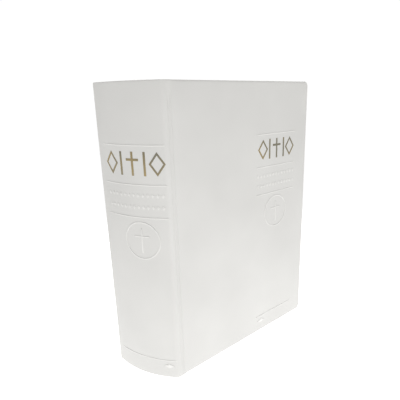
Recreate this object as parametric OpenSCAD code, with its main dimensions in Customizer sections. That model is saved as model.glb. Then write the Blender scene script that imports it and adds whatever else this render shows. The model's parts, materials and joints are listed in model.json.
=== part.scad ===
// A thick case-bound bible in soft imitation leather, standing on its tail edge.
// X runs from the spine to the fore edge, Y through the thickness with the front
// cover on the -Y side, and Z from tail to head. Millimetres.

/* [Book] */
// Height of the covers and the spine
book_h = 210; // [160:1:300]
// Width of a cover, from the spine corner to the fore edge
cover_w = 142; // [110:1:220]
// Distance between the two spine corners
book_t = 55; // [45:1:80]
// How far the rounded spine bulges behind its two corners
spine_bulge = 5.5; // [4:0.5:9]
// How far each cover leans out from square when the book stands
splay = 23; // [10:1:28]
// How far a cover turns from closed to fully open
cover_travel = 175; // [120:5:175]
// How far the covers stand past the pages at head, tail and fore edge
page_square = 3.5; // [2:0.5:6]

/* [Case] */
// Thickness of the imitation leather
skin_t = 0.7; // [0.5:0.1:1.2]
// Thickness of a cover board
board_t = 2; // [1.5:0.1:3]
// Thickness of the card inlay of the spine
inlay_t = 0.8; // [0.5:0.1:1.5]
// Thickness of the pasted endpaper
endpaper_t = 0.2; // [0.1:0.1:0.4]
// Radius of the soft edge between spine and cover
edge_r = 5; // [4:0.5:8]
// Width of the bare skin that bends between that edge and the board
flex_w = 4; // [3:0.5:8]
// Radius of the corners at the fore edge
corner_r = 4; // [2:0.5:10]
// Width of the skin that is turned in over the board
turn_in = 12; // [8:1:20]
// Width of the turn-in that the endpaper leaves uncovered
turn_in_bare = 4; // [2:0.5:6]

/* [Pages] */
// Bundles of pages that fan out on each side, with the flyleaf as the outermost
fan_count = 6; // [6:1:6]
// Thickness of the flyleaf
flyleaf_t = 0.3; // [0.2:0.1:0.5]
// Thickness of the outermost bundle of pages
bundle_first_t = 1.6; // [1:0.1:1.7]
// How much thicker each bundle is than the one outside it
bundle_step_t = 0.6; // [0.2:0.1:0.6]
// Signatures in the still middle of the book
core_count = 6; // [6:1:6]
// Depth of the glued and sewn back, in from the spine corners
bound_depth = 8; // [7:0.5:12]
// Free length of paper that bends beside the glued back
gutter_flex = 6; // [6:0.5:9]
// Share of the cover's swing that the flyleaf takes
fan_share = 0.66; // [0.4:0.01:0.66]
// Radius of the page corners
page_corner_r = 3; // [1:0.5:8]

/* [Spine linings] */
// Thickness of the sewing tapes and headband tails
tape_t = 0.4; // [0.2:0.1:0.6]
// Height of one sewing tape
tape_h = 12; // [8:1:16]
// Number of sewing tapes
tape_count = 4; // [2:1:5]
// Thickness of the gauze called mull
mull_t = 0.4; // [0.2:0.1:0.6]
// Thickness of the kraft paper lining
kraft_t = 0.4; // [0.2:0.1:0.6]
// How far the mull and lining end short of the page block's head and tail
lining_inset = 12; // [9:1:20]
// Radius of the headband bead
bead_r = 1.2; // [0.8:0.1:1.4]

/* [Decoration] */
// Thickness of the gold foil
foil_t = 0.12; // [0.08:0.01:0.2]
// Height of the uncoloured relief above the skin
relief_h = 0.2; // [0.1:0.05:0.4]
// Width of the fine rules
rule_w = 0.7; // [0.4:0.1:1.2]
// Width of the foil row on the spine
spine_foil_w = 44; // [30:1:46]
// Width of the foil row on the cover
cover_foil_w = 43; // [30:1:60]
// Height of the foil row
foil_h = 15.5; // [10:0.5:20]
// Stroke of the foil shapes
foil_stroke = 1.6; // [0.8:0.1:2.4]
// Outer radius of the round emblem
emblem_r = 13.5; // [8:0.5:15]
// Width of the emblem's ring
ring_w = 0.9; // [0.6:0.1:2]
// Width of the decoration on the spine
spine_art_w = 47; // [30:1:47]
// Width of the decoration on the cover
cover_art_w = 45; // [30:1:60]
// Distance from the spine corner to the middle of the cover decoration
cover_art_x = 104; // [80:1:110]
// How far the spine decoration sits towards the front cover
spine_art_shift = 1.75; // [0:0.25:2]
// How far the foil row on the spine sits towards the front cover
spine_foil_shift = 3.25; // [0:0.25:4]
// How far the emblem on the spine sits towards the front cover
spine_emblem_shift = 7.5; // [0:0.5:8]

/* [Clearances] */
// Gap between the closed cover and the pages
cover_gap = 0.3; // [0.2:0.1:1]
// Gap between closed bundles of pages
leaf_gap = 0.1; // [0.05:0.05:0.3]
// Gap of the hollow back, between the lining and the spine
hollow_gap = 0.3; // [0.2:0.1:1]
// Gap between the bending inner margins and the bundles they lead to
margin_gap = 0.05; // [0.02:0.01:0.2]

/* [Hidden] */
$fn = 64;
cut = 1; // overshoot of a cutting shape

// Unit vectors of the standing front cover: along it, and square into the book
along = [cos(splay), -sin(splay)];
inward = [sin(splay), cos(splay)];
corner = [0, -book_t / 2];

// The spine is an arc about spine_c; the soft edge is an arc about edge_c that
// touches both the spine arc and the plane of the front cover
spine_r = ((book_t / 2) ^ 2 + spine_bulge ^ 2) / (2 * spine_bulge);
spine_c = [spine_r - spine_bulge, 0];
edge_tilt = asin(((spine_c - corner) * inward - edge_r) / (spine_r - edge_r));
edge_dir = -cos(edge_tilt) * along - sin(edge_tilt) * inward;
edge_c = spine_c + (spine_r - edge_r) * edge_dir;
edge_from = 180 + atan2(-edge_dir[1], -edge_dir[0]);
edge_to = 270 - splay;
half_angle = edge_from - 180;
flat_from = (edge_c - corner) * along;

// Covers
cover_from = flat_from + flex_w;
cover_t = 2 * skin_t + board_t + endpaper_t;
hinge = corner + flat_from * along + skin_t / 2 * inward;
closed_inner_y = hinge[1] - skin_t / 2 + cover_t;
closed_fore_x = hinge[0] + cover_w - flat_from;

// Layers of the spine, from the outside in
inlay_r = spine_r - skin_t;
inlay_angle = half_angle - 2.5;
spine_inner_r = inlay_r - inlay_t - skin_t;
kraft_r = spine_inner_r - hollow_gap;
mull_r = kraft_r - kraft_t;
tape_r = mull_r - mull_t;
back_r = tape_r - tape_t;

// Page block
block_half = -closed_inner_y - cover_gap;
block_z = page_square;
block_h = book_h - 2 * page_square;
function back_x(y) = spine_c[0] - sqrt(back_r ^ 2 - y ^ 2);
leaf_w = closed_fore_x - page_square - back_x(block_half);
lining_angle = asin(block_half / kraft_r) - 1;

// Fanned bundles, 0 being the flyleaf: thickness, inner face when closed, turn
function bundle_t(i) = i == 0 ? flyleaf_t : bundle_first_t + bundle_step_t * (i - 1);
function bundle_y(i) =
    (i == 0 ? -block_half : bundle_y(i - 1) + leaf_gap) + bundle_t(i);
function bundle_share(i) = fan_share * (fan_count - i) / fan_count;
function bundle_turn(i) = splay * bundle_share(i);
function bundle_len(i) = back_x(bundle_y(i)) + leaf_w - bound_depth;
core_half = -bundle_y(fan_count - 1) - leaf_gap;
core_t = 2 * core_half / core_count;

// The frame's origin is under the middle of the standing book
min_x = -spine_bulge - max(foil_t, relief_h);
max_x = max(
    cover_w * along[0] + cover_t * inward[0],
    back_x(core_half) + leaf_w,
    max([for (i = [0:fan_count - 1])
        bound_depth + bundle_len(i) * cos(bundle_turn(i))])
);
mid_x = (min_x + max_x) / 2;

// Heights of the decoration above the tail edge
foil_z = 151.5;
top_rule_z = 171;
low_rule_z = 145.5;
small_rows_z = [138.5, 130.5];
last_rule_z = 123.5;
emblem_z = 107;
foot_rule_z = 14.5;
foot_mark_z = 10;

// The two rows of small lozenges
small_w = 2;
small_h = 3;
small_pitch = 3.5;
small_count = 13;

// The lozenge at the foot
foot_mark_w = 8;
foot_mark_h = 3.5;

// ---- placing --------------------------------------------------------------

// Moves everything so that the origin is under the middle of the book
module centred() { translate([-mid_x, 0, 0]) children(); }

// Stands a flat outline up on X and Z, and gives it a thickness towards +Y
module upright(t) {
    rotate([90, 0, 0]) translate([0, 0, -t]) linear_extrude(t) children();
}

// From the front cover's own frame (X along it, Y inwards) to the book's
module on_front_cover() {
    translate([corner[0], corner[1], 0]) rotate([0, 0, -splay]) children();
}

// The other half of the book is the mirror image
module other_half() { mirror([0, 1, 0]) children(); }

// ---- shapes ---------------------------------------------------------------

// Band of thickness t that follows the spine, from z0 to z1
module spine_band(r_out, t, half, z0, z1) {
    translate([spine_c[0], spine_c[1], z0]) rotate([0, 0, 180 - half])
        rotate_extrude(angle = 2 * half, $fn = 200)
            translate([r_out - t, 0]) square([t, z1 - z0]);
}

// The same band as a flat outline
module sector_2d(c, r_out, t, a0, a1) {
    far = 2 * r_out;
    intersection() {
        translate(c) difference() {
            circle(r_out, $fn = 200);
            circle(r_out - t, $fn = 200);
        }
        polygon([c, for (a = [a0, (a0 + a1) / 2, a1]) c + far * [cos(a), sin(a)]]);
    }
}

module spine_sector_2d(r_out, t, half) {
    sector_2d(spine_c, r_out, t, 180 - half, 180 + half);
}

// Sheet outline with its two fore-edge corners rounded
module sheet_2d(w, h, r) {
    square([w - r, h]);
    translate([0, r]) square([w, h - 2 * r]);
    translate([w - r, r]) circle(r);
    translate([w - r, h - r]) circle(r);
}

module bar_2d(w, h) { translate([-w / 2, -h / 2]) square([w, h]); }

module lozenge_2d(w, h) {
    polygon([[-w / 2, 0], [0, -h / 2], [w / 2, 0], [0, h / 2]]);
}

module latin_cross_2d(w, h, stroke) {
    bar_2d(stroke, h);
    translate([0, h / 6]) bar_2d(w, stroke);
}

// Row of plain shapes: lozenge, bar, cross, bar, lozenge
module foil_row_2d(w) {
    lozenge_w = foil_h * 0.72;
    for (side = [-1, 1]) {
        translate([side * (w - lozenge_w) / 2, 0]) difference() {
            lozenge_2d(lozenge_w, foil_h);
            lozenge_2d(lozenge_w - 2.5 * foil_stroke, foil_h - 3.5 * foil_stroke);
        }
        translate([side * w / 5.2, 0]) bar_2d(foil_stroke, foil_h);
    }
    latin_cross_2d(foil_h * 0.6, foil_h, foil_stroke);
}

// Ring with a plain cross in it
module emblem_2d() {
    difference() {
        circle(emblem_r, $fn = 96);
        circle(emblem_r - ring_w, $fn = 96);
    }
    latin_cross_2d(emblem_r * 0.8, emblem_r * 1.3, ring_w);
}

// Rules, rows of small lozenges, emblem and foot mark, centred on X = 0
module relief_2d(w, emblem_x) {
    for (z = [top_rule_z, low_rule_z, last_rule_z, foot_rule_z])
        translate([0, z]) bar_2d(w, rule_w);
    for (z = small_rows_z, i = [0:small_count - 1])
        translate([(i - (small_count - 1) / 2) * small_pitch, z])
            lozenge_2d(small_w, small_h);
    translate([emblem_x, emblem_z]) emblem_2d();
    translate([foot_mark_w / 2 + 2 - w / 2, foot_mark_z])
        lozenge_2d(foot_mark_w, foot_mark_h);
}

// ---- case -----------------------------------------------------------------

// Turns an outline on Y and Z into a prism along X, through the spine
module through_spine(shift) {
    translate([-spine_bulge - cut, -shift, 0])
        rotate([90, 0, 90]) linear_extrude(spine_bulge * 2) children();
}

// Level slices stacked from tail to head: closed over the inlay's edge, turned
// in behind it, and bare between the turn-ins
module spine_skin() {
    edge_h = turn_in - skin_t;
    color("gainsboro") centred() {
        for (z = [0, book_h - skin_t]) translate([0, 0, z]) linear_extrude(skin_t) {
            spine_sector_2d(spine_r, skin_t, half_angle);
            spine_sector_2d(inlay_r, inlay_t + skin_t, inlay_angle);
        }
        for (z = [skin_t, book_h - turn_in]) translate([0, 0, z]) linear_extrude(edge_h) {
            spine_sector_2d(spine_r, skin_t, half_angle);
            spine_sector_2d(spine_inner_r + skin_t, skin_t, inlay_angle);
        }
        translate([0, 0, turn_in]) linear_extrude(book_h - 2 * turn_in)
            spine_sector_2d(spine_r, skin_t, half_angle);
    }
}

// Rules, small lozenges and emblem that stand out of the leather
module spine_relief() {
    color("whitesmoke") centred() intersection() {
        spine_band(spine_r + relief_h, relief_h, half_angle, 0, book_h);
        through_spine(spine_art_shift)
            relief_2d(spine_art_w, spine_art_shift - spine_emblem_shift);
    }
}

module spine_inlay() {
    color("tan") centred() translate([0, 0, skin_t])
        linear_extrude(book_h - 2 * skin_t) spine_sector_2d(inlay_r, inlay_t, inlay_angle);
}

module spine_foil() {
    color("darkkhaki") centred() intersection() {
        spine_band(spine_r + foil_t, foil_t, half_angle, 0, book_h);
        through_spine(spine_foil_shift) translate([0, foil_z + foil_h / 2])
            foil_row_2d(spine_foil_w);
    }
}

// Bare skin from the soft edge to the board, which bends as the cover opens
module joint_skin() {
    color("gainsboro") centred() linear_extrude(book_h) {
        sector_2d(edge_c, edge_r, skin_t, edge_from, edge_to);
        translate(corner) rotate(-splay) translate([flat_from, 0])
            square([flex_w, skin_t]);
    }
}

// Outline of a cover layer that ends inset from the head, tail and fore edge
module cover_layer_2d(x0, inset) {
    translate([x0, inset])
        sheet_2d(cover_w - inset - x0, book_h - 2 * inset, max(corner_r - inset, 0.5));
}

module cover_skin() {
    color("gainsboro") on_front_cover() difference() {
        upright(2 * skin_t + board_t) cover_layer_2d(cover_from, 0);
        translate([0, skin_t, 0]) upright(board_t) {
            cover_layer_2d(cover_from, skin_t);
            translate([cover_from - cut, skin_t]) square([2 * cut, book_h - 2 * skin_t]);
        }
        translate([0, skin_t + board_t - cut, 0]) upright(skin_t + 2 * cut)
            translate([cover_from - cut, turn_in])
                square([cover_w - turn_in - cover_from + cut, book_h - 2 * turn_in]);
    }
}

module front_relief() {
    color("whitesmoke") centred() on_front_cover()
        translate([cover_art_x, -relief_h, 0]) upright(relief_h)
            relief_2d(cover_art_w, 0);
}

module cover_board() {
    color("tan") on_front_cover() translate([0, skin_t, 0])
        upright(board_t) cover_layer_2d(cover_from, skin_t);
}

// Endpaper pasted over the turn-ins and into the window that they leave
module pastedown() {
    color("ivory") on_front_cover() {
        translate([0, skin_t + board_t, 0]) upright(skin_t)
            translate([cover_from, turn_in])
                square([cover_w - turn_in - cover_from, book_h - 2 * turn_in]);
        translate([0, 2 * skin_t + board_t, 0]) upright(endpaper_t)
            cover_layer_2d(cover_from, turn_in_bare);
    }
}

module front_foil() {
    color("darkkhaki") centred() on_front_cover()
        translate([cover_art_x, -foil_t, foil_z + foil_h / 2])
            upright(foil_t) foil_row_2d(cover_foil_w);
}

// ---- page block -----------------------------------------------------------

// Glued and sewn back of all the pages, rounded like the spine
module sewn_back() {
    color("ivory") centred() translate([0, 0, block_z]) linear_extrude(block_h)
        intersection() {
            translate(spine_c) circle(back_r, $fn = 200);
            translate([-spine_bulge, -block_half])
                square([bound_depth + spine_bulge, 2 * block_half]);
        }
}

// One signature of the middle, counted from the front
module signature(k) {
    y0 = -core_half + k * core_t;
    y_mid = y0 + core_t / 2;
    color(k % 2 == 0 ? "ivory" : "linen") centred()
        translate([bound_depth, y0, block_z]) upright(core_t)
            sheet_2d(back_x(y_mid) + leaf_w - bound_depth, block_h, page_corner_r);
}

// Fanned bundle i, which turns about the inner face of its bound edge
module bundle(i) {
    color(i % 2 == 0 ? "ivory" : "linen") centred()
        translate([bound_depth, bundle_y(i), block_z]) rotate([0, 0, -bundle_turn(i)])
            translate([gutter_flex, -bundle_t(i), 0]) upright(bundle_t(i))
                sheet_2d(bundle_len(i) - gutter_flex, block_h, page_corner_r);
}

// Paper that bends between the sewn back and each bundle
module gutter() {
    color("ivory") centred() translate([0, 0, block_z]) linear_extrude(block_h)
        for (i = [0:fan_count - 1]) {
            turn = bundle_turn(i);
            root_at = [bound_depth, bundle_y(i)];
            free_at = root_at + (gutter_flex - margin_gap) * [cos(turn), -sin(turn)];
            polygon([
                root_at - [0, bundle_t(i)], root_at,
                free_at, free_at - bundle_t(i) * [sin(turn), cos(turn)]
            ]);
        }
}

// ---- linings of the back --------------------------------------------------

module kraft_lining() {
    color("burlywood") centred()
        spine_band(kraft_r, kraft_t, lining_angle,
            block_z + lining_inset, block_z + block_h - lining_inset);
}

module mull() {
    color("white") centred()
        spine_band(mull_r, mull_t, lining_angle,
            block_z + lining_inset, block_z + block_h - lining_inset);
}

module sewing_tapes() {
    span = block_h - 2 * lining_inset - tape_h;
    color("wheat") centred()
        for (i = [0:tape_count - 1]) {
            z = block_z + lining_inset + span * i / (tape_count - 1);
            spine_band(tape_r, tape_t, lining_angle, z, z + tape_h);
        }
}

// Bead that stands on the head of the block, with its tail glued down the back
module headband() {
    tail_h = lining_inset - cut;
    bead_at = back_r + tape_t - bead_r;
    spine_band(tape_r, tape_t, lining_angle, block_z + block_h - tail_h,
        block_z + block_h + bead_r);
    translate([spine_c[0], spine_c[1], block_z + block_h + bead_r])
        rotate([0, 0, 180 - lining_angle])
            rotate_extrude(angle = 2 * lining_angle, $fn = 200)
                translate([bead_at, 0]) circle(bead_r, $fn = 32);
}

module headband_head() { color("white") centred() headband(); }

module headband_tail() {
    color("white") centred() translate([0, 0, book_h]) mirror([0, 0, 1]) headband();
}

// ---- nodes ----------------------------------------------------------------

spine_skin();
spine_relief();
spine_foil();
spine_inlay();
kraft_lining();
mull();
sewing_tapes();
headband_head();
headband_tail();
sewn_back();

for (k = [0:core_count - 1])
    signature(k);

joint_skin();  // front_joint_skin
centred() cover_skin();  // front_cover_skin
front_relief();
centred() cover_board();  // front_board
centred() pastedown();  // front_pastedown
front_foil();
gutter();  // front_gutter
bundle(0);  // front_flyleaf

other_half() joint_skin();  // back_joint_skin
other_half() centred() cover_skin();  // back_cover_skin
other_half() centred() cover_board();  // back_board
other_half() centred() pastedown();  // back_pastedown
other_half() gutter();  // back_gutter
other_half() bundle(0);  // back_flyleaf

for (i = [1:fan_count - 1]) {
    bundle(i);
    other_half() bundle(i);
}
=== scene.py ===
# %% [markdown]
# # A thick bible in soft white imitation leather
# The book stands on its tail edge with both covers a little open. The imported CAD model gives
# the frame: bodies, hinges and sizes. This notebook gives the book its looks. Everything is
# worked out in millimetres, because that is how a bookbinder measures, and each finished mesh
# is scaled to metres once, at the end.

# %% Load the frame
import json
import math

import bmesh
import bpy
from mathutils import Matrix, Vector, noise


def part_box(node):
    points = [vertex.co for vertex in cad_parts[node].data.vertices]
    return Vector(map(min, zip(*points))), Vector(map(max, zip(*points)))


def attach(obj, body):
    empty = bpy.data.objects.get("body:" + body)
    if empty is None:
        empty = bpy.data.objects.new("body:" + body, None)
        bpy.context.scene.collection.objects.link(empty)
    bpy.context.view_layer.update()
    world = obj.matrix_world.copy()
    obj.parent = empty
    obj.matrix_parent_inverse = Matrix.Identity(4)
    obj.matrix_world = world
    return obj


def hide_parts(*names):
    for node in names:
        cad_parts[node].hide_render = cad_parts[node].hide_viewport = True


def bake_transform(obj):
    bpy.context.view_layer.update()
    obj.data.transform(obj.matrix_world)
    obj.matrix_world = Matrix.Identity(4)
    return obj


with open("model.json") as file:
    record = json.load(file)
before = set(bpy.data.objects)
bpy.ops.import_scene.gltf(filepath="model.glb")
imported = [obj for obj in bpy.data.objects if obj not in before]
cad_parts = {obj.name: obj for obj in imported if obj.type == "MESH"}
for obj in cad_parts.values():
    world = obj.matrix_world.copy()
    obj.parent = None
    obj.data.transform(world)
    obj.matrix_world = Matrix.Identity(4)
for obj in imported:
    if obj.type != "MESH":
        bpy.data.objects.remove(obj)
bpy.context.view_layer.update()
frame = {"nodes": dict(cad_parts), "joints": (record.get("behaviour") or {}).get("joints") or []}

# %% [markdown]
# ## Driving sizes
# Most places are read from the frame. The thin layers of a book cover are named here once:
# the leather, the board, the endpaper, and the strip of bare leather that works as a hinge.

# %% Sizes in millimetres
MM = 0.001
BOOK_T = 55.0          # across the two spine corners
SPINE_BULGE = 5.5      # how far the spine is rounded
COVER_W = 142.0        # spine corner to fore edge
SKIN_T = 0.7           # imitation leather
BOARD_T = 2.0          # cover board
INLAY_T = 0.8          # card in the spine
PAPER_T = 0.2          # endpaper
EDGE_R = 5.0           # soft edge between spine and cover
FLEX_W = 4.0           # bare leather that bends
CORNER_R = 4.0         # rounded cover corners
TURN_IN = 12.0         # leather folded over the board
TURN_IN_BARE = 4.0     # as much of it as the endpaper leaves uncovered
PAGE_SQUARE = 3.5      # how far the cover stands past the pages


def low_mm(node):
    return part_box(node)[0] / MM


def high_mm(node):
    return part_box(node)[1] / MM


joints = {joint["name"]: joint for joint in frame["joints"]}
hinge = Vector(joints["front_cover_hinge"]["pos_m"]) / MM
splay = math.radians(-joints["front_cover_hinge"]["range_deg"][0])
book_h = high_mm("spine_skin").z
print(f"book height {book_h:.1f} mm, covers stand open {math.degrees(splay):.0f} degrees")

# %% [markdown]
# ## The plan of the case
# Seen from above, the outside of the case is one smooth line: an arc for the spine, a small
# arc for the soft edge, and a straight line for the front cover. A point on the leather is
# known by how far along that line it lies, how high it is, and how deep it is under the
# surface. A real case is made the same way: flat on the bench, then folded round the pages.

# %% Follow the plan line
corner = Vector((low_mm("spine_skin").x + SPINE_BULGE, -BOOK_T / 2))
along = Vector((math.cos(splay), -math.sin(splay)))
inward = Vector((math.sin(splay), math.cos(splay)))

spine_r = ((BOOK_T / 2) ** 2 + SPINE_BULGE**2) / (2 * SPINE_BULGE)
spine_c = Vector((corner.x - SPINE_BULGE + spine_r, 0))
edge_tilt = math.asin(((spine_c - corner).dot(inward) - EDGE_R) / (spine_r - EDGE_R))
edge_dir = -math.cos(edge_tilt) * along - math.sin(edge_tilt) * inward
edge_c = spine_c + (spine_r - EDGE_R) * edge_dir
edge_from = math.atan2(edge_dir.y, edge_dir.x) + 2 * math.pi
edge_to = math.radians(270) - splay

spine_len = spine_r * (edge_from - math.pi)
edge_len = EDGE_R * (edge_to - edge_from)
flat_s = spine_len + edge_len
flat_from = (edge_c - corner).dot(along)
fore_s = flat_s + COVER_W - flat_from
board_s = flat_s + FLEX_W


def plan_point(s):
    """Point and outward normal, s along the case from the middle of the spine to the front."""
    if s <= spine_len:
        normal = Matrix.Rotation(math.pi + s / spine_r, 2) @ Vector((1, 0))
        return spine_c + spine_r * normal, normal
    if s <= flat_s:
        normal = Matrix.Rotation(edge_from + (s - spine_len) / EDGE_R, 2) @ Vector((1, 0))
        return edge_c + EDGE_R * normal, normal
    return corner + (flat_from + s - flat_s) * along, -inward


def on_case(flat):
    """From the flat case (along, height, depth) to the standing book."""
    point, normal = plan_point(flat.x)
    place = point - normal * flat.z
    return Vector((place.x, place.y, flat.y))


print(f"soft edge bends {math.degrees(edge_to - edge_from):.0f} degrees")

# %% [markdown]
# ## Camera, light and floor
# The book is seen from a little above and from the left, close by, so the near edge is tall
# and the far edges fall away. The light is a bright, even room: it comes off the white table
# as much as from above, so the lower half of the book is the lighter one.

# %% Camera
CAMERA_PLACE = Vector((-256.3, -157.9, 198.9))
CAMERA_HEADING = 63.23  # degrees from +Y towards +X
CAMERA_DOWN = 15.4      # degrees below level
CAMERA_ROLL = 1.25      # held a little crooked
CAMERA_LENS = 33.47
CAMERA_SHIFT = -0.04


def look_matrix(place, look, up):
    """Turns something that looks along its own -Z, such as a camera, towards a direction."""
    back = -look.normalized()
    right = up.cross(back).normalized()
    turn = Matrix((right, back.cross(right), back)).transposed().to_4x4()
    return Matrix.Translation(place) @ turn


heading, down = math.radians(CAMERA_HEADING), math.radians(CAMERA_DOWN)
camera_look = Vector((math.sin(heading) * math.cos(down),
                      math.cos(heading) * math.cos(down), -math.sin(down)))
camera_up = Matrix.Rotation(math.radians(CAMERA_ROLL), 3, camera_look) @ Vector((0, 0, 1))
camera_data = bpy.data.cameras.new("camera")
camera_data.lens = CAMERA_LENS
camera_data.shift_x = CAMERA_SHIFT
camera_data.clip_start = 0.01
camera = bpy.data.objects.new("camera", camera_data)
bpy.context.scene.collection.objects.link(camera)
camera.matrix_world = look_matrix(CAMERA_PLACE * MM, camera_look, camera_up)
bpy.context.scene.camera = camera
print("camera to book", round((camera.location - Vector((0, 0, book_h / 2)) * MM).length, 3))

# %% Colour and node helpers


def srgb(hex_colour):
    """An sRGB hex colour as the linear RGBA that shaders work in."""
    channels = [int(hex_colour[i:i + 2], 16) / 255 for i in (1, 3, 5)]
    return [c / 12.92 if c <= 0.04045 else ((c + 0.055) / 1.055) ** 2.4
            for c in channels] + [1.0]


def add_node(tree, kind, settings=None, inputs=None):
    """Adds a node. A setting is an attribute; an input is a value or a socket to link."""
    node = tree.nodes.new(kind)
    for name, value in (settings or {}).items():
        setattr(node, name, value)
    for name, value in (inputs or {}).items():
        if isinstance(value, bpy.types.NodeSocket):
            tree.links.new(value, node.inputs[name])
        else:
            node.inputs[name].default_value = value
    return node


# %% [markdown]
# ## A light table
# White goods are often shown on a light table: a white sheet that glows, strongest in the
# middle, so that nothing casts a shadow. The glow reaches the lower half of the book more
# than the upper half. The room is bright at eye level and dimmer above. One lamp hangs
# overhead so that the heads of the pages don't sink into the dark. A second, low one stands
# off to the left, and picks out the hollow beside the spine.

# %% World
scene = bpy.context.scene
scene.view_settings.view_transform = "Standard"
WALL_LIGHT = 1.02      # the room up to a little above the horizon
CEILING_LIGHT = 0.19
WALL_TOP = 0.26        # sine of the height where the wall starts to darken
CEILING_FROM = 0.5     # and where it is all ceiling

world = bpy.data.worlds.new("white_room")
world.use_nodes = True
tree = world.node_tree
tree.nodes.clear()
direction = add_node(tree, "ShaderNodeTexCoord").outputs["Generated"]
height = add_node(tree, "ShaderNodeSeparateXYZ", inputs={"Vector": direction}).outputs["Z"]
falloff = add_node(tree, "ShaderNodeMapRange", {"interpolation_type": "SMOOTHSTEP"},
                   {"Value": height, "From Min": WALL_TOP, "From Max": CEILING_FROM,
                    "To Min": WALL_LIGHT, "To Max": CEILING_LIGHT})
sky = add_node(tree, "ShaderNodeBackground",
               inputs={"Color": srgb("#fffffe"), "Strength": falloff.outputs["Result"]})
add_node(tree, "ShaderNodeOutputWorld", inputs={"Surface": sky.outputs[0]})
scene.world = world


# %% Two soft lamps
def add_soft_lamp(name, place, aim, size, power, up):
    """A square lamp, placed and sized in millimetres, that lights but isn't seen."""
    data = bpy.data.lights.new(name, "AREA")
    data.size = size * MM
    data.energy = power
    lamp = bpy.data.objects.new(name, data)
    scene.collection.objects.link(lamp)
    lamp.matrix_world = look_matrix(place * MM, aim - place, up)
    lamp.visible_camera = False
    return lamp


book_middle = Vector((0, 0, book_h / 2))
add_soft_lamp("overhead_lamp", place=Vector((0, 0, 1300)), aim=book_middle,
              size=150, power=5.5, up=Vector((0, 1, 0)))
add_soft_lamp("low_window", place=Vector((-240, -340, 10)), aim=book_middle / 2,
              size=120, power=0.3, up=Vector((0, 0, 1)))

# %% Light table
TABLE_REACH = 60000.0  # far enough to look endless
TABLE_GLOW = 1.02      # far from the book
GLOW_BOOST = 0.68      # extra glow close to the book
GLOW_FROM = 200.0      # full glow up to here, falling to the far value at GLOW_REACH
GLOW_REACH = 420.0

bm = bmesh.new()
bmesh.ops.create_grid(bm, x_segments=1, y_segments=1, size=TABLE_REACH * MM)
table_mesh = bpy.data.meshes.new("light_table")
bm.to_mesh(table_mesh)
bm.free()
table = bpy.data.objects.new("light_table", table_mesh)
scene.collection.objects.link(table)

opal_sheet = bpy.data.materials.new("opal_acrylic_sheet")
opal_sheet.use_nodes = True
tree = opal_sheet.node_tree
tree.nodes.clear()
place = add_node(tree, "ShaderNodeTexCoord").outputs["Object"]
distance = add_node(tree, "ShaderNodeVectorMath", {"operation": "LENGTH"}, {0: place})
glow = add_node(tree, "ShaderNodeMapRange", {"interpolation_type": "SMOOTHSTEP"},
                {"Value": distance.outputs["Value"], "From Min": GLOW_FROM * MM,
                 "From Max": GLOW_REACH * MM, "To Min": TABLE_GLOW + GLOW_BOOST,
                 "To Max": TABLE_GLOW})
light = add_node(tree, "ShaderNodeEmission",
                 inputs={"Color": srgb("#ffffff"), "Strength": glow.outputs["Result"]})
add_node(tree, "ShaderNodeOutputMaterial", inputs={"Surface": light.outputs[0]})
table_mesh.materials.append(opal_sheet)
print("table glow", TABLE_GLOW, "to", TABLE_GLOW + GLOW_BOOST)

# %% [markdown]
# ## Materials
# Imitation leather is polyurethane on cloth, embossed with a fine grain. Its plastic skin
# gives a broad soft highlight, and the grain breaks that highlight up. Uncoloured relief is
# pressed with a hot tool, which melts the grain flat, so it is smoother and glossier; its
# lighter colour is painted sheen. Foil is a thin metal film pressed on in the same way.

# %% Material helpers


def new_material(name, **inputs):
    """A material with a Principled shader, its object coordinates, and its node tree."""
    material = bpy.data.materials.new(name)
    material.use_nodes = True
    tree = material.node_tree
    tree.nodes.clear()
    shader = add_node(tree, "ShaderNodeBsdfPrincipled", inputs=inputs)
    add_node(tree, "ShaderNodeOutputMaterial", inputs={"Surface": shader.outputs[0]})
    place = add_node(tree, "ShaderNodeTexCoord").outputs["Object"]
    return material, tree, shader, place


def per_mm(size):
    """Texture scale, in metres, for a feature of that many millimetres."""
    return 1 / (size * MM)


def two_tone(tree, factor, dark, light, low=0.3, high=0.7):
    """Colour that runs from dark to light as the factor goes from low to high."""
    ramp = add_node(tree, "ShaderNodeValToRGB", inputs={"Fac": factor})
    ramp.color_ramp.elements[0].position = low
    ramp.color_ramp.elements[0].color = srgb(dark)
    ramp.color_ramp.elements[1].position = high
    ramp.color_ramp.elements[1].color = srgb(light)
    return ramp.outputs["Color"]


def bump(tree, height, depth, strength=1.0, below=None):
    """Bump of that many millimetres, laid over another bump if one is given."""
    inputs = {"Height": height, "Distance": depth * MM, "Strength": strength}
    if below is not None:
        inputs["Normal"] = below
    return add_node(tree, "ShaderNodeBump", inputs=inputs).outputs["Normal"]


# %% White imitation leather
GRAIN = 0.9         # width of a grain pebble, drawn a little coarse so that it shows
CREASE = 14.0       # soft unevenness of the padding
CREASE_DEPTH = 0.25
HAZE = 45.0         # slow changes of shade


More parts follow.
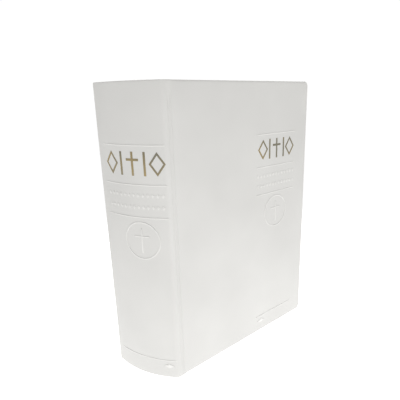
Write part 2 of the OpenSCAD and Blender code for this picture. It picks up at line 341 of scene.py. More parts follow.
def leather(name, dark, light, roughness, grain_depth):
    """Embossed polyurethane: satin, with fine pebbles over a soft unevenness."""
    material, tree, shader, place = new_material(
        name, Roughness=roughness, IOR=1.5, **{"Specular IOR Level": 0.45})
    haze = add_node(tree, "ShaderNodeTexNoise",
                    inputs={"Vector": place, "Scale": per_mm(HAZE), "Detail": 2.0})
    tree.links.new(two_tone(tree, haze.outputs["Fac"], dark, light),
                   shader.inputs["Base Color"])
    pebbles = add_node(tree, "ShaderNodeTexVoronoi", {"feature": "SMOOTH_F1"},
                       {"Vector": place, "Scale": per_mm(GRAIN), "Smoothness": 0.6})
    crease = add_node(tree, "ShaderNodeTexNoise",
                      inputs={"Vector": place, "Scale": per_mm(CREASE), "Detail": 1.0})
    soft = bump(tree, crease.outputs["Fac"], CREASE_DEPTH, 0.35)
    normal = bump(tree, pebbles.outputs["Distance"], grain_depth, 0.4, soft)
    tree.links.new(normal, shader.inputs["Normal"])
    return material


white_leather = leather("white_pu_leather", "#d2d1ce", "#d8d7d4", 0.48, 0.03)
# The pressed copy is really smoother and glossier; its lighter colours are painted sheen.
pressed_leather_painted_sheen = leather("pressed_pu_leather_painted_sheen", "#dcdbd8", "#e1e0dd", 0.30, 0.008)

# %% Gold foil
# Pale gold foil is a metal film. The grain of the leather shows through it, and it is a
# little tarnished in patches, so some strokes look browner than others.
TARNISH = 22.0
FOIL_GRAIN_DEPTH = 0.02
gold_foil, tree, shader, place = new_material("pale_gold_foil", Metallic=1.0, Roughness=0.36)
tarnish = add_node(tree, "ShaderNodeTexNoise",
                   inputs={"Vector": place, "Scale": per_mm(TARNISH), "Detail": 2.0})
tree.links.new(two_tone(tree, tarnish.outputs["Fac"], "#837f70", "#9e8e6a", 0.38, 0.66),
               shader.inputs["Base Color"])
foil_grain = add_node(tree, "ShaderNodeTexVoronoi",
                      inputs={"Vector": place, "Scale": per_mm(GRAIN)})
tree.links.new(bump(tree, foil_grain.outputs["Distance"], FOIL_GRAIN_DEPTH, 0.3),
               shader.inputs["Normal"])

# %% Paper
# Bible paper is thin, white and a little warm. On a cut edge each leaf shows as a fine line.
# A leaf is 0.04 mm thick, too fine to see, so a line here stands for about ten of them. The
# line's place in the stack is kept on the mesh in the attribute "stack".
LEAF_LINES = 0.42
LINE_DEPTH = 0.12
FIBRE = 1.2            # clump of fibres, drawn coarse so that it shows
FIBRE_DEPTH = 0.02


def paper(name, dark, light, line_strength):
    """Matt paper whose cut edges show the lines of the leaves."""
    material, tree, shader, place = new_material(
        name, Roughness=0.8, **{"Specular IOR Level": 0.25})
    stack = add_node(tree, "ShaderNodeAttribute", {"attribute_name": "stack"})
    lines = add_node(tree, "ShaderNodeTexNoise", {"noise_dimensions": "1D"},
                     {"W": stack.outputs["Fac"], "Scale": 1 / LEAF_LINES, "Detail": 3.0,
                      "Roughness": 0.7})
    tree.links.new(two_tone(tree, lines.outputs["Fac"], dark, light, 0.36, 0.56),
                   shader.inputs["Base Color"])
    fibre = add_node(tree, "ShaderNodeTexNoise",
                     inputs={"Vector": place, "Scale": per_mm(FIBRE), "Detail": 4.0})
    fine = bump(tree, fibre.outputs["Fac"], FIBRE_DEPTH, 0.4)
    normal = bump(tree, lines.outputs["Fac"], LINE_DEPTH, line_strength, fine)
    tree.links.new(normal, shader.inputs["Normal"])
    return material


page_paper = paper("bible_paper", "#cfcabd", "#f1eee6", 0.6)
end_paper = paper("endpaper_stock", "#ebe8e1", "#f2f0ea", 0.0)

# %% Cloth and card
FIBRE_RELIEF = 0.05


def cloth(name, dark, light, thread, weave_depth, roughness=0.85):
    """Plain woven cloth: two sets of threads at right angles, seen as waves."""
    material, tree, shader, place = new_material(
        name, Roughness=roughness, **{"Specular IOR Level": 0.2, "Sheen Weight": 0.15})
    weave = None
    for direction in ("Z", "Y"):
        wave = add_node(tree, "ShaderNodeTexWave", {"bands_direction": direction},
                        {"Vector": place, "Scale": per_mm(thread) / 2, "Distortion": 0.6})
        if weave is None:
            weave = wave.outputs["Fac"]
        else:
            weave = add_node(tree, "ShaderNodeMath", {"operation": "MULTIPLY"},
                             {0: weave, 1: wave.outputs["Fac"]}).outputs[0]
    tree.links.new(two_tone(tree, weave, dark, light, 0.0, 0.6),
                   shader.inputs["Base Color"])
    tree.links.new(bump(tree, weave, weave_depth, 0.8), shader.inputs["Normal"])
    return material


def card(name, dark, light, fleck):
    """Pressed card or kraft paper: matt, with flecks of fibre."""
    material, tree, shader, place = new_material(
        name, Roughness=0.9, **{"Specular IOR Level": 0.2})
    flecks = add_node(tree, "ShaderNodeTexNoise",
                      inputs={"Vector": place, "Scale": per_mm(fleck), "Detail": 5.0})
    tree.links.new(two_tone(tree, flecks.outputs["Fac"], dark, light),
                   shader.inputs["Base Color"])
    tree.links.new(bump(tree, flecks.outputs["Fac"], FIBRE_RELIEF, 0.5),
                   shader.inputs["Normal"])
    return material


mull_gauze = cloth("cotton_mull", "#c9c5b8", "#efece2", 1.1, 0.15)
tape_cloth = cloth("cotton_tape", "#c8c0a9", "#e6dfcc", 0.7, 0.1)
kraft = card("kraft_paper", "#a5845c", "#b8966c", 1.5)
grey_board = card("grey_board", "#8f8578", "#a99e8e", 2.0)

# %% Headband thread
# Silk thread wound over a core, white with a cream thread every other turn.
THREAD_PITCH = 1.1
headband_silk, tree, shader, place = new_material(
    "headband_silk", Roughness=0.5, **{"Specular IOR Level": 0.5, "Sheen Weight": 0.3})
turns = add_node(tree, "ShaderNodeTexWave", {"bands_direction": "Y"},
                 {"Vector": place, "Scale": per_mm(THREAD_PITCH) / 4, "Distortion": 0.3})
tree.links.new(two_tone(tree, turns.outputs["Fac"], "#d9d2bf", "#f6f4ee", 0.35, 0.65),
               shader.inputs["Base Color"])

# %% [markdown]
# ## From a bench shape to a finished piece
# Every piece is made as a bmesh in millimetres. One function turns it into an object in
# metres with its material. Smooth shading is kept off wherever two faces meet at a sharp
# edge, and along free edges, where Solidify adds a rim.

# %% Finish a piece
SHARP = math.radians(40)
SAME_PLACE = 0.0005    # points closer than this are one point


def finish_piece(bm, name, material, smooth=True):
    """Makes the object in metres, with its faces pointing outwards."""
    bmesh.ops.remove_doubles(bm, verts=bm.verts[:], dist=SAME_PLACE)
    bmesh.ops.recalc_face_normals(bm, faces=bm.faces[:])
    bmesh.ops.scale(bm, verts=bm.verts[:], vec=(MM, MM, MM))
    for face in bm.faces:
        face.smooth = smooth
    for edge in bm.edges:
        edge.smooth = len(edge.link_faces) == 2 and edge.calc_face_angle(0.0) <= SHARP
    mesh = bpy.data.meshes.new(name)
    bm.to_mesh(mesh)
    bm.free()
    piece = bpy.data.objects.new(name, mesh)
    scene.collection.objects.link(piece)
    mesh.materials.append(material)
    return piece


def mirrored(bm):
    """The same shape on the other side of the book."""
    bmesh.ops.scale(bm, verts=bm.verts[:], vec=(1, -1, 1))
    bmesh.ops.reverse_faces(bm, faces=bm.faces[:])
    return bm


# %% [markdown]
# ## The leather case
# A real case has one sheet of leather. It lies flat on the spine card and the boards, and at
# the head, tail and fore edge it rolls over and is glued down inside. Here the flat part is a
# grid with closer lines near the corners, whose two fore-edge corners are rounded by moving
# the grid's own points. Then the rim is extruded ring by ring along a squarish half circle,
# which is the roll, and inwards again, which is the turn-in. The roll is thin at the spine
# and the hinge, and as thick as the board on the cover. The sheet gets its thickness from
# Solidify. It is made in two halves that meet on the spine.

# %% Shape of the roll
COVER_ROLL = SKIN_T + BOARD_T / 2
SPINE_ROLL = SKIN_T + INLAY_T / 2
HINGE_ROLL = SKIN_T + 0.1
ROLL_STEPS = 12
SQUARENESS = 3.2       # 2 would be a half circle; leather over a board is squarer
GRID_STEP = 3.0
CORNER_STEPS = 4       # grid cells across a rounded corner
INNER_R = CORNER_R - COVER_ROLL
SHEET_T = 0.25
TINY = 1e-6


def smooth_step(low, high, value):
    """From 0 to 1 as the value goes from low to high, level at both ends."""
    t = min(max((value - low) / (high - low), 0.0), 1.0)
    return t * t * (3 - 2 * t)


def roll_at(s):
    """Radius of the rolled edge: spine card, then bare hinge, then board."""
    s = abs(s)
    to_hinge = smooth_step(spine_len - 5.0, spine_len - 1.0, s)
    to_cover = smooth_step(board_s - 1.5, board_s + 1.5, s)
    return (SPINE_ROLL + (HINGE_ROLL - SPINE_ROLL) * to_hinge
            + (COVER_ROLL - HINGE_ROLL) * to_cover)


def spaced(start, stop, step):
    """Even places from start to stop, about step apart."""
    count = max(1, round((stop - start) / step))
    return [start + (stop - start) * i / count for i in range(count + 1)]


def joined(*runs):
    """Runs of places that share their end points, as one list."""
    places = list(runs[0])
    for run in runs[1:]:
        places += run[1:]
    return places


# %% Softness of the leather
DIP_DEPTH = 0.6        # the bare hinge sinks a little between card and board
DIP_FROM = 0.4         # how far past the soft edge the hollow starts
DIP_SIDE = 1.1         # width of each side of the hollow
SWELL = 0.22           # padding unevenness
SWELL_SIZE = 38.0
SWELL_SLICE = 7.0      # which slice of the noise is used
HEAD_FADE = 12.0       # the face is true near head and tail
FORE_FADE = 10.0


def surface_depth(s, z):
    """How deep the outer face lies under its ideal plan line."""
    dip_s = flat_s + DIP_FROM
    dip = DIP_DEPTH * (smooth_step(dip_s, dip_s + DIP_SIDE, abs(s))
                       - smooth_step(board_s - DIP_SIDE, board_s, abs(s)))
    swell = SWELL * noise.noise(Vector((s, z, SWELL_SLICE)) / SWELL_SIZE)
    inside = smooth_step(0, HEAD_FADE, z) * smooth_step(0, HEAD_FADE, book_h - z)
    return (dip + swell * smooth_step(0, FORE_FADE, fore_s - s)) * inside


# %% Make the leather sheet


def leather_sheet(columns, side_of_book=1):
    """Leather over the given columns; the last one is the fore edge, the first stays open."""
    rows = joined(spaced(COVER_ROLL, CORNER_R, INNER_R / CORNER_STEPS),
                  spaced(CORNER_R, book_h - CORNER_R, GRID_STEP),
                  spaced(book_h - CORNER_R, book_h - COVER_ROLL, INNER_R / CORNER_STEPS))
    bm = bmesh.new()
    bmesh.ops.create_grid(bm, x_segments=len(columns) - 1, y_segments=len(rows) - 1, size=0.5)
    # where each point lies on the flat sheet, and which way the rim goes from there
    base = bm.verts.layers.float_vector.new("base")
    out = bm.verts.layers.float_vector.new("out")
    round_x = fore_s - CORNER_R
    for v in bm.verts:
        s = columns[round((v.co.x + 0.5) * (len(columns) - 1))]
        z = rows[round((v.co.y + 0.5) * (len(rows) - 1))]
        u = (s - round_x) / INNER_R
        w = (abs(z - book_h / 2) - (book_h / 2 - CORNER_R)) / INNER_R
        side = 1 if z > book_h / 2 else -1
        direction = Vector((0, 0, 0))
        if u > TINY and w > TINY:
            # a square of grid points is pressed into a quarter of a disc
            disc = Vector((u * math.sqrt(1 - w * w / 2), w * math.sqrt(1 - u * u / 2)))
            s = round_x + INNER_R * disc.x
            z = book_h / 2 + side * (book_h / 2 - CORNER_R + INNER_R * disc.y)
            direction = Vector((disc.x, side * disc.y, 0)).normalized()
        elif w > 1 - TINY:
            direction = Vector((0, side, 0))
        elif u > 1 - TINY:
            direction = Vector((1, 0, 0))
        v.co = Vector((s, z, surface_depth(side_of_book * s, z)))
        v[base] = Vector((s, z, 0))
        v[out] = direction

    def place_ring(rim, position):
        """Extrudes the rim once and puts each new point where position says."""
        made = bmesh.ops.extrude_edge_only(bm, edges=rim)["geom"]
        fresh = {v for v in made if isinstance(v, bmesh.types.BMVert)}
        for v in fresh:
            v.co = position(v[base], v[out])
        return [e for e in made if isinstance(e, bmesh.types.BMEdge)
                and e.verts[0] in fresh and e.verts[1] in fresh]

    def turned_in(reach):
        """Place on the inner face, reach in from the rolled edge, mitred at the corners."""
        def position(b, n):
            radius = roll_at(b.x)
            inset = reach + radius - COVER_ROLL
            if n.x > TINY and abs(n.y) > TINY:
                place = b - n * min(inset, INNER_R)
            else:
                place = b - n * inset
            low = COVER_ROLL + inset
            return Vector((min(place.x, fore_s - low),
                           min(max(place.y, low), book_h - low), 2 * radius))
        return position

    first_column = columns[0]
    rim = [e for e in bm.edges if e.is_boundary
           and not all(abs(v.co.x - first_column) < TINY for v in e.verts)]
    for step in range(ROLL_STEPS + 1):
        angle = math.pi * step / ROLL_STEPS

        def rolled(b, n, angle=angle):
            """Place on the roll, at that angle round it."""
            radius = roll_at(b.x)
            bulge = max(math.sin(angle), 0) ** (2 / SQUARENESS)
            drop = math.copysign(abs(math.cos(angle)) ** (2 / SQUARENESS), math.cos(angle))
            reach = COVER_ROLL - radius + radius * bulge
            return Vector((b.x + n.x * reach, b.y + n.y * reach, radius * (1 - drop)))

        rim = place_ring(rim, rolled)
    for reach in (INNER_R * 0.8, TURN_IN_BARE, TURN_IN):
        rim = place_ring(rim, turned_in(reach))
    for v in bm.verts:
        v.co = on_case(v.co)
    return bm


# The front and back sheets meet on the still part of the spine, near its back edge. Narrow
# columns there give both sheets the same slope, so that the join can't be seen.
SEAM_S = spine_len - 5.5
SEAM_COLUMN = 0.4
SPINE_STEP, EDGE_STEP, HOLLOW_STEP = 2.0, 0.55, 0.28
BOARD_RAMP = 1.5       # how far over the board the fine columns go on

front_columns = joined(spaced(-SEAM_S, -SEAM_S + SEAM_COLUMN, SEAM_COLUMN),
                       spaced(-SEAM_S + SEAM_COLUMN, spine_len, SPINE_STEP))
back_columns = joined(spaced(SEAM_S, SEAM_S + SEAM_COLUMN, SEAM_COLUMN),
                      spaced(SEAM_S + SEAM_COLUMN, spine_len, SPINE_STEP / 2))
cover_columns = joined(spaced(spine_len, flat_s, EDGE_STEP),
                       spaced(flat_s, board_s + BOARD_RAMP, HOLLOW_STEP),
                       spaced(board_s + BOARD_RAMP, fore_s - CORNER_R, GRID_STEP),
                       spaced(fore_s - CORNER_R, fore_s - COVER_ROLL, INNER_R / CORNER_STEPS))


def other_side(point):
    """The same point on the other side of the book."""
    return Vector((point.x, -point.y, point.z))


def add_thickness(piece, thickness):
    """Thickness in millimetres, added on the inner side of a sheet."""
    solid = piece.modifiers.new("thickness", "SOLIDIFY")
    solid.thickness = thickness * MM
    solid.offset = -1.0
    return piece


# %% Front half with the spine, and back half
front_case = finish_piece(leather_sheet(joined(front_columns, cover_columns)),
                          "front_case_leather", white_leather)
back_case = finish_piece(mirrored(leather_sheet(joined(back_columns, cover_columns), -1)),
                         "back_case_leather", white_leather)
for case in (front_case, back_case):
    add_thickness(case, SHEET_T)
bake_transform(front_case)
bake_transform(back_case)
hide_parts("spine_skin", "front_joint_skin", "front_cover_skin")
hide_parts("back_joint_skin", "back_cover_skin")
print("leather faces:", len(front_case.data.polygons), len(back_case.data.polygons))

# %% [markdown]
# ## Relief and foil
# The decoration is made flat: bars, lozenges, a ring and a cross. Each outline is given a
# height, its upper edge is softened, and the shape is cut across every few millimetres so
# that it can follow the round spine. Then it is laid on the case with the same function
# that bent the leather. The shapes are plain geometry, with no lettering.

# %% Flat outlines
RELIEF_H = 0.2
FOIL_H = 0.12
SINK = 0.3             # how far a shape reaches down into the leather
RULE_W = 0.7
SPINE_ART_W = 48.0
COVER_ART_W = 45.0
SPINE_FOIL_W = 46.0
COVER_FOIL_W = 43.0
FOIL_LOW = 151.5
FOIL_TALL = 15.5
FOIL_STROKE = 1.6
LOZENGE_SHAPE = 0.72   # width to height of the large lozenges
THIN_SIDE = 0.8        # their sides look as heavy as the bars if they are thinner
EMBLEM_R = 13.5
RING_W = 0.9
RULES_Z = (171.0, 145.5, 123.5, 14.5)
SMALL_ROWS_Z = (138.5, 130.5)
SMALL_COUNT = 13
SMALL_PITCH = 3.5
SMALL_W = 2.0
SMALL_TALL = 3.0
FOOT_MARK_W = 8.0
FOOT_MARK_TALL = 3.5
FOOT_MARK_Z = 10.0
FOOT_MARK_IN = 2.0     # from the end of the rule to the tip of the mark
FOIL_Z = FOIL_LOW + FOIL_TALL / 2
EMBLEM_Z = 107.0
ROUND_SIDES = 96
SPINE_ART_S = 3.5      # middles of the decoration, measured along the case
SPINE_FOIL_S = 4.5
SPINE_EMBLEM_S = 7.5
COVER_ART_S = flat_s + 104.0 - flat_from


def add_bar(bm, x, z, width, height):
    """A flat bar with its middle at x, z."""
    made = bmesh.ops.create_grid(bm, x_segments=1, y_segments=1, size=0.5)["verts"]
    bmesh.ops.scale(bm, verts=made, vec=(width, height, 1))
    bmesh.ops.translate(bm, verts=made, vec=(x, z, 0))


def add_disc(bm, x, z, width, height, sides):
    """A flat disc, or a lozenge if it has four sides."""
    made = bmesh.ops.create_circle(bm, cap_ends=True, segments=sides, radius=0.5)["verts"]
    bmesh.ops.scale(bm, verts=made, vec=(width, height, 1))
    bmesh.ops.translate(bm, verts=made, vec=(x, z, 0))
    return made[0].link_faces[0]


def open_middle(bm, face, border):
    """Leaves only a border of the face."""
    bmesh.ops.inset_region(bm, faces=[face], thickness=border, use_boundary=True,
                           use_even_offset=True)
    bmesh.ops.delete(bm, geom=[face], context="FACES")


def add_cross(bm, x, z, width, height, stroke):
    """A Latin cross: a small square whose four sides are pulled out into arms."""
    made = bmesh.ops.create_grid(bm, x_segments=1, y_segments=1, size=0.5)["verts"]
    bmesh.ops.scale(bm, verts=made, vec=(stroke, stroke, 1))
    bmesh.ops.translate(bm, verts=made, vec=(x, z + height / 6, 0))
    centre = Vector((x, z + height / 6, 0))
    arms = {(1, 0): width / 2, (-1, 0): width / 2, (0, 1): height / 3, (0, -1): height * 2 / 3}
    edges = {e for v in made for e in v.link_edges}
    for edge in edges:
        middle = (edge.verts[0].co + edge.verts[1].co) / 2 - centre
        side = (round(middle.x / (stroke / 2)), round(middle.y / (stroke / 2)))
        tip = bmesh.ops.extrude_edge_only(bm, edges=[edge])["geom"]
        verts = [g for g in tip if isinstance(g, bmesh.types.BMVert)]
        reach = arms[side] - stroke / 2
        bmesh.ops.translate(bm, verts=verts, vec=(side[0] * reach, side[1] * reach, 0))


# %% Give the outlines height and lay them on the case
FOLLOW_STEP = 0.75


def lay_on_case(bm, middle_s, height):
    """Extrudes flat outlines, softens their upper edges and bends them on to the case."""
    low = min(v.co.x for v in bm.verts)
    high = max(v.co.x for v in bm.verts)
    for x in spaced(low, high, FOLLOW_STEP)[1:-1]:
        bmesh.ops.bisect_plane(bm, geom=bm.verts[:] + bm.edges[:] + bm.faces[:],
                               plane_co=(x, 0, 0), plane_no=(1, 0, 0))
    bottom = bm.faces[:]
    made = bmesh.ops.extrude_face_region(bm, geom=bottom, use_keep_orig=True)["geom"]
    top = [g for g in made if isinstance(g, bmesh.types.BMVert)]
    for v in bm.verts:
        v.co.z = SINK
    for v in top:
        v.co.z = -height
    bmesh.ops.recalc_face_normals(bm, faces=bm.faces[:])
    upper = set(top)
    ridge = [e for e in bm.edges if e.verts[0] in upper and e.verts[1] in upper
             and len(e.link_faces) == 2 and e.calc_face_angle(0.0) > SHARP]
    bmesh.ops.bevel(bm, geom=ridge, offset=height * 0.9, segments=2, affect="EDGES",
                    profile=0.5, material=-1)
    for v in bm.verts:
        s, z, depth = middle_s + v.co.x, v.co.y, v.co.z
        v.co = on_case(Vector((s, z, depth + surface_depth(s, z))))
    return bm


def relief_outlines(width, emblem_x, mark_side):
    """Rules, two rows of small lozenges, a ring with a cross, and a mark at the foot."""
    bm = bmesh.new()
    for z in RULES_Z:
        add_bar(bm, 0, z, width, RULE_W)
    for z in SMALL_ROWS_Z:
        for i in range(SMALL_COUNT):
            add_disc(bm, (i - (SMALL_COUNT - 1) / 2) * SMALL_PITCH, z, SMALL_W, SMALL_TALL, 4)
    disc = add_disc(bm, emblem_x, EMBLEM_Z, 2 * EMBLEM_R, 2 * EMBLEM_R, ROUND_SIDES)
    open_middle(bm, disc, RING_W)
    add_cross(bm, emblem_x, EMBLEM_Z, EMBLEM_R * 0.8, EMBLEM_R * 1.3, RING_W)
    add_disc(bm, mark_side * ((width - FOOT_MARK_W) / 2 - FOOT_MARK_IN), FOOT_MARK_Z,
             FOOT_MARK_W, FOOT_MARK_TALL, 4)
    return bm


def foil_outlines(width):
    """A row: lozenge, bar, Latin cross, bar, lozenge."""
    bm = bmesh.new()
    lozenge_w = FOIL_TALL * LOZENGE_SHAPE
    for side in (-1, 1):
        lozenge = add_disc(bm, side * (width - lozenge_w) / 2, FOIL_Z, lozenge_w, FOIL_TALL, 4)
        open_middle(bm, lozenge, FOIL_STROKE * THIN_SIDE)
        add_bar(bm, side * width / 5.2, FOIL_Z, FOIL_STROKE, FOIL_TALL)
    add_cross(bm, 0, FOIL_Z, FOIL_TALL * 0.6, FOIL_TALL, FOIL_STROKE)
    return bm


# %% Press the decoration on the spine and the cover
spine_relief = finish_piece(
    lay_on_case(relief_outlines(SPINE_ART_W, SPINE_EMBLEM_S - SPINE_ART_S, 1),
                SPINE_ART_S, RELIEF_H), "spine_pressed_relief", pressed_leather_painted_sheen)
front_relief = finish_piece(
    lay_on_case(relief_outlines(COVER_ART_W, 0, -1), COVER_ART_S, RELIEF_H),
    "front_pressed_relief", pressed_leather_painted_sheen)
spine_foil = finish_piece(lay_on_case(foil_outlines(SPINE_FOIL_W), SPINE_FOIL_S, FOIL_H),
                          "spine_foil_row", gold_foil)
front_foil = finish_piece(lay_on_case(foil_outlines(COVER_FOIL_W), COVER_ART_S, FOIL_H),
                          "front_foil_row", gold_foil)
for piece, slot_name, node_name in (
        (spine_relief, "cover_leather", "spine_relief"),
        (front_relief, "cover_leather", "front_relief"),
        (spine_foil, "gold_foil", "spine_foil"),
        (front_foil, "gold_foil", "front_foil")):
    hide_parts(node_name)
    print(piece.name, len(piece.data.polygons), "faces")

# The spine's decoration runs a little way round the soft edge, so, like the leather, it is baked
# in place and not attached to a cover.
for piece in (spine_relief, spine_foil):
    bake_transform(piece)
for piece in (front_relief, front_foil):
    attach(piece, "front_cover")

# %% [markdown]
# ## The pages
# A sewn page block is a stack of thin sheets with a rounded back and a hollow fore edge. The
# outer pages lean out with the covers, so each side is a fan of bundles. A bundle is made as
# closed pages are, straight and flat, from a stack of thin slabs with a little air at the
# fore edge. Then it is bent at the gutter by the angle at which it stands.

# %% Layout of the page block
FLYLEAF_T = 0.3
BUNDLE_FIRST_T = 1.6
BUNDLE_STEP_T = 0.6
LEAF_GAP = 0.1
FAN_COUNT = 6
CORE_COUNT = 6
PAGE_CORNER_R = 3.0
SLAB_T = 0.55          # one slab of the stack stands for about a dozen leaves
BEND_REACH = 16.0      # how far in from the bound edge the paper bends
HOLLOW_GAP = 0.3       # between the spine card and the lining
LINING_T = 0.4         # each of kraft paper, gauze and tapes

back_r = spine_r - 2 * SKIN_T - INLAY_T - HOLLOW_GAP - 3 * LINING_T
gutter_x = joints["front_flyleaf_turn"]["pos_m"][0] / MM
pages_low = low_mm("sewn_back").z
pages_high = high_mm("sewn_back").z
block_half = high_mm("sewn_back").y
closed_fore_x = hinge.x + COVER_W - flat_from


def back_x(y):
    """Where the rounded back of the pages lies at that y."""
    return spine_c.x - math.sqrt(back_r**2 - y * y)


leaf_w = closed_fore_x - PAGE_SQUARE - back_x(block_half)

# %% Build a stack of slabs
UNEVEN = 0.25          # how unevenly the fore edge is trimmed
UNEVEN_RATE = 3.1      # how fast that changes from slab to slab
BEND_CUT, FLAT_CUT = 1.6, 14.0


def page_stack(y_low, y_high, bend_angle=0.0, pivot_y=0.0):
    """Pages between two heights of the closed stack, bent about the bound edge."""
    bm = bmesh.new()
    stack = bm.verts.layers.float.new("stack")
    count = max(1, round((y_high - y_low) / SLAB_T))
    slab = (y_high - y_low) / count
    for k in range(count):
        y0 = y_low + k * slab
        start = back_x(y0 + slab / 2)
        length = leaf_w + UNEVEN * noise.noise(Vector((y0 * UNEVEN_RATE, 0.5, 2.0)))
        made = bmesh.ops.create_cube(bm, size=1)["verts"]
        bmesh.ops.scale(bm, verts=made, vec=(length, slab, pages_high - pages_low))
        bmesh.ops.translate(bm, verts=made, vec=(
            start + length / 2, y0 + slab / 2, (pages_high + pages_low) / 2))
        corners = [e for e in {e for v in made for e in v.link_edges}
                   if all(v.co.x > start + 1 for v in e.verts)
                   and abs(e.verts[0].co.y - e.verts[1].co.y) > slab / 2]
        bmesh.ops.bevel(bm, geom=corners, offset=PAGE_CORNER_R, segments=6, affect="EDGES",
                        profile=0.5, material=-1)
    cuts = (spaced(gutter_x - 1, gutter_x + BEND_REACH + 1, BEND_CUT)
            + spaced(gutter_x + BEND_REACH + FLAT_CUT, closed_fore_x - 12, FLAT_CUT))
    for x in cuts:
        bmesh.ops.bisect_plane(bm, geom=bm.verts[:] + bm.edges[:] + bm.faces[:],
                               plane_co=(x, 0, 0), plane_no=(1, 0, 0))
    for v in bm.verts:
        v[stack] = v.co.y
    if bend_angle:
        for v in bm.verts:
            share = smooth_step(gutter_x, gutter_x + BEND_REACH, v.co.x)
            pivot = Vector((gutter_x, pivot_y, 0))
            v.co = pivot + Matrix.Rotation(-bend_angle * share, 3, "Z") @ (v.co - pivot)
    return bm


# %% Core pages and fanned bundles
y = -block_half
fan = []
for i in range(FAN_COUNT):
    thickness = FLYLEAF_T if i == 0 else BUNDLE_FIRST_T + BUNDLE_STEP_T * (i - 1)
    fan.append((y, y + thickness))
    y += thickness + LEAF_GAP
core_half = -y

core = finish_piece(page_stack(-core_half, core_half), "still_pages", page_paper, smooth=False)
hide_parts("sewn_back", *[f"signature_{k + 1}" for k in range(CORE_COUNT)])
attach(core, "root")

for side, sign in (("front", 1), ("back", -1)):
    for i, (y_low, y_high) in enumerate(fan):
        body = f"{side}_flyleaf" if i == 0 else f"{side}_bundle_{i}"
        node = f"{side}_flyleaf" if i == 0 else f"{side}_pages_{i}"
        joint = joints[body + "_turn"]
        turn = math.radians(-joint["range_deg"][0])
        bm = page_stack(y_low, y_high, turn, y_high)
        if sign < 0:
            mirrored(bm)
        pages = finish_piece(bm, f"{side}_leaves_{i}", end_paper if i == 0 else page_paper,
                             smooth=False)
        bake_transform(pages)
        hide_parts(node, *([f"{side}_gutter"] if i == 0 else []))

# %% [markdown]
# ## Endpapers, headbands and what is hidden in the spine
# Inside each cover a sheet of endpaper is pasted down over the turned-in leather. It runs on
# across the hinge to the page block. The headbands are cords wound with silk that sit on the
# head and tail of the block. The card, gauze and tapes in the spine keep their CAD shape and
# get their real materials.

# %% Pasted endpapers
LEDGE_SINK = 0.35      # the sheet sinks this far where the turned-in leather ends
SHEET_DOWN = 0.3       # its rim reaches this far into the board
WIDE, NARROW = 6.0, 4.0
LEDGE_CUT = 0.5


def pastedown():
    """A thin sheet on the inner face of the cover that runs into the gutter."""
    top = 2 * SKIN_T + BOARD_T
    ledge = (TURN_IN - 0.8, TURN_IN + 1.2)
    columns = joined(spaced(board_s + 0.4, board_s + 6.0, 1.4),
                     spaced(board_s + 6.0, fore_s - ledge[1], WIDE),
                     spaced(fore_s - ledge[1], fore_s - ledge[0], LEDGE_CUT),
                     spaced(fore_s - ledge[0], fore_s - TURN_IN_BARE, NARROW))
    rows = joined(spaced(TURN_IN_BARE, ledge[0], NARROW), spaced(*ledge, LEDGE_CUT),
                  spaced(ledge[1], book_h - ledge[1], WIDE),
                  spaced(book_h - ledge[1], book_h - ledge[0], LEDGE_CUT),
                  spaced(book_h - ledge[0], book_h - TURN_IN_BARE, NARROW))
    bm = bmesh.new()
    bmesh.ops.create_grid(bm, x_segments=len(columns) - 1, y_segments=len(rows) - 1, size=0.5)
    for v in bm.verts:
        s = columns[round((v.co.x + 0.5) * (len(columns) - 1))]
        z = rows[round((v.co.y + 0.5) * (len(rows) - 1))]
        reach = min(z, book_h - z, fore_s - s)
        sink = LEDGE_SINK * smooth_step(*ledge, reach)
        v.co = Vector((s, z, top + PAPER_T - sink))
    rim = [e for e in bm.edges if e.is_boundary]
    made = bmesh.ops.extrude_edge_only(bm, edges=rim)["geom"]
    for v in made:
        if isinstance(v, bmesh.types.BMVert):
            v.co.z = top - SHEET_DOWN
    for v in bm.verts:
        v.co = on_case(v.co)
    return bm


# %% Hinge of the endpaper
FOLD_SAG = Vector((-0.6, -0.2, 0))
FOLD_BACK = 5.2        # how far behind the bend of the leaves the fold is glued
FOLD_CELLS = 12


def paper_hinge():
    """The fold of endpaper from the cover's inner face to the shoulder of the pages."""
    start = on_case(Vector((board_s + 0.6, book_h / 2, 2 * SKIN_T + BOARD_T + PAPER_T / 2)))
    end = Vector((gutter_x - FOLD_BACK, -block_half - 0.05, book_h / 2))
    middle = (start + end) / 2 + FOLD_SAG
    rows = spaced(pages_low, pages_high, 20.0)
    bm = bmesh.new()
    bmesh.ops.create_grid(bm, x_segments=FOLD_CELLS, y_segments=len(rows) - 1, size=0.5)
    for v in bm.verts:
        t = v.co.x + 0.5
        z = rows[round((v.co.y + 0.5) * (len(rows) - 1))]
        curve = start * (1 - t) ** 2 + middle * 2 * t * (1 - t) + end * t**2
        v.co = Vector((curve.x, curve.y, z))
    return bm, start, end


for side, sign in (("front", 1), ("back", -1)):
    sheet = pastedown()
    fold, fold_start, fold_end = paper_hinge()
    if sign < 0:
        mirrored(sheet)
        mirrored(fold)
        fold_start, fold_end = other_side(fold_start), other_side(fold_end)
    sheet = finish_piece(sheet, side + "_pasted_endpaper", end_paper)
    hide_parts(side + "_pastedown")
    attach(sheet, side + "_cover")
    fold = finish_piece(fold, side + "_endpaper_fold", end_paper)
    add_thickness(fold, PAPER_T)
    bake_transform(fold)

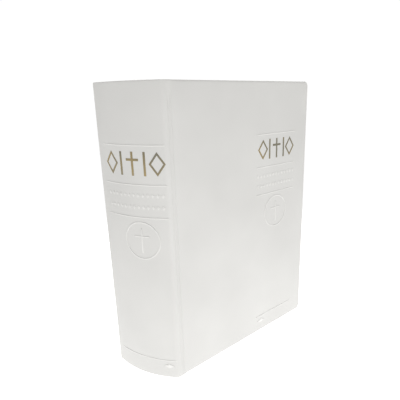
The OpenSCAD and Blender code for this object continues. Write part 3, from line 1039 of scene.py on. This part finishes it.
# %% Headbands
BEAD_R = 1.2
RIDGE = 0.12           # share of the radius by which the thread swells and shrinks
BAND_SIDES = 16
BAND_STEPS = 176
BAND_SHORT = math.radians(1.2)  # each end stops this short of the pages' shoulder


def headband(head):
    """A round cord wound with thread, bent along the back of the pages."""
    bm = bmesh.new()
    half = math.asin(block_half / back_r) - BAND_SHORT
    bead_r_at = back_r + LINING_T - BEAD_R
    z = pages_high + BEAD_R if head else pages_low - BEAD_R
    ring = bmesh.ops.create_circle(bm, cap_ends=True, segments=BAND_SIDES,
                                   radius=BEAD_R)["verts"]
    bmesh.ops.rotate(bm, verts=ring, cent=(0, 0, 0),
                     matrix=Matrix.Rotation(math.pi / 2, 3, "X"))
    bmesh.ops.translate(bm, verts=ring, vec=(bead_r_at, 0, 0))
    bmesh.ops.rotate(bm, verts=ring, cent=(0, 0, 0), matrix=Matrix.Rotation(-half, 3, "Z"))
    bmesh.ops.spin(bm, geom=bm.faces[:], cent=(0, 0, 0), axis=(0, 0, 1), angle=2 * half,
                   steps=BAND_STEPS, use_duplicate=False)
    for v in bm.verts:
        turn = math.atan2(v.co.y, v.co.x)
        axis_point = Vector((math.cos(turn), math.sin(turn), 0)) * bead_r_at
        out = v.co - axis_point
        phase = 2 * math.pi * turn * back_r / THREAD_PITCH
        v.co = axis_point + out * (1 - RIDGE * (0.5 + 0.5 * math.cos(phase)))
    bmesh.ops.rotate(bm, verts=bm.verts[:], cent=(0, 0, 0),
                     matrix=Matrix.Rotation(math.pi, 3, "Z"))
    bmesh.ops.translate(bm, verts=bm.verts[:], vec=(spine_c.x, spine_c.y, z))
    return bm


for end_name, is_head in (("head", True), ("tail", False)):
    band = finish_piece(headband(is_head), end_name + "_band_silk", headband_silk)
    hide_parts("headband_" + end_name)
    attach(band, "root")

# %% Materials of the CAD pieces that stay
for node_name, material in {
    "spine_inlay": grey_board, "front_board": grey_board, "back_board": grey_board,
    "kraft_lining": kraft, "mull": mull_gauze, "sewing_tapes": tape_cloth,
}.items():
    for slot in frame["nodes"][node_name].material_slots:
        slot.material = material
